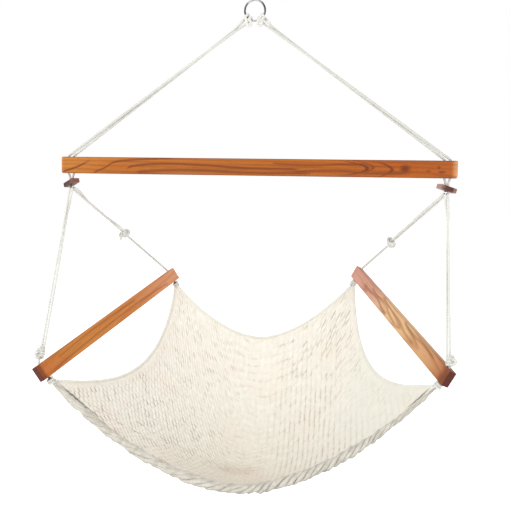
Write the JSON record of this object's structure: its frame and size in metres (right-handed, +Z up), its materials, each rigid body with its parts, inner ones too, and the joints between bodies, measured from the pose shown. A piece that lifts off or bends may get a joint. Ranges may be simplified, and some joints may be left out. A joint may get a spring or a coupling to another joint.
{
  "type": "hammock chair",
  "caption": "Hanging chair: a woven rope bed slung by its corners between two wooden arms, under a spreader bar and a hanging ring.",
  "frame": {"origin": "inside of the hanging ring's top, where a hook carries the chair", "axes": "+Z up, +X to the right as seen from the front, -Y to the front of the seat; the chair hangs at rest"},
  "size_m": [1.0188, 0.5704, 1.1995],
  "materials": {
    "ring_steel": "polished steel wire with a welded joint",
    "oiled_wood": "oiled orange-brown hardwood, satin",
    "pale_wood": "oiled hardwood, lighter and pinker, satin",
    "dark_wood": "dark oiled hardwood, satin",
    "cotton_rope": "off-white soft-laid cotton rope and cord"
  },
  "bodies": {
    "ring": {"hanging_ring": "ring_steel", "ring_hitch_left": "cotton_rope", "ring_hitch_right": "cotton_rope"},
    "hanger": {"spreader_bar": "oiled_wood", "hanger_leg_outer_left": "cotton_rope", "hanger_leg_inner_left": "cotton_rope", "hanger_leg_outer_right": "cotton_rope", "hanger_leg_inner_right": "cotton_rope"},
    "toggle_left": {"toggle_left": "dark_wood"},
    "toggle_right": {"toggle_right": "dark_wood"},
    "seat": {"front_rope_left": "cotton_rope", "front_rope_return_left": "cotton_rope", "front_knot_left": "cotton_rope", "corner_knot_front_left": "cotton_rope", "back_rope_left": "cotton_rope", "back_rope_return_left": "cotton_rope", "back_knot_left": "cotton_rope", "corner_knot_back_left": "cotton_rope", "front_rope_right": "cotton_rope", "front_rope_return_right": "cotton_rope", "front_knot_right": "cotton_rope", "corner_knot_front_right": "cotton_rope", "back_rope_right": "cotton_rope", "back_rope_return_right": "cotton_rope", "back_knot_right": "cotton_rope", "corner_knot_back_right": "cotton_rope", "woven_bed": "cotton_rope", "front_bundle": "cotton_rope", "back_edge_cord": "cotton_rope", "side_edge_cord_left": "cotton_rope", "side_edge_cord_right": "cotton_rope"},
    "arm_left": {"arm_left": "oiled_wood"},
    "arm_right": {"arm_right": "pale_wood"}
  },
  "joints": [
    {"name": "chair_swing", "type": "hinge", "parent": "ring", "child": "hanger", "pos_m": [0, 0, -0.06088], "axis": [1, 0, 0], "range_deg": [-35, 35]},
    {"name": "seat_tilt", "type": "hinge", "parent": "hanger", "child": "seat", "pos_m": [0, 0, -0.47083], "axis": [1, 0, 0], "range_deg": [-15, 15]},
    {"name": "toggle_left_turn", "type": "hinge", "parent": "hanger", "child": "toggle_left", "pos_m": [-0.484, 0, -0.4585], "axis": [0, 0, 1], "range_deg": [-45, 45]},
    {"name": "toggle_right_turn", "type": "hinge", "parent": "hanger", "child": "toggle_right", "pos_m": [0.484, 0, -0.4585], "axis": [0, 0, 1], "range_deg": [-45, 45]},
    {"name": "arm_left_rock", "type": "hinge", "parent": "seat", "child": "arm_left", "pos_m": [-0.37417, 0.02943, -0.82132], "axis": [-0.3027, -0.9063, -0.2949], "range_deg": [-3, 3]},
    {"name": "arm_right_rock", "type": "hinge", "parent": "seat", "child": "arm_right", "pos_m": [0.37317, 0.02943, -0.78999], "axis": [0.3263, -0.9063, -0.2685], "range_deg": [-3, 3]}
  ]
}
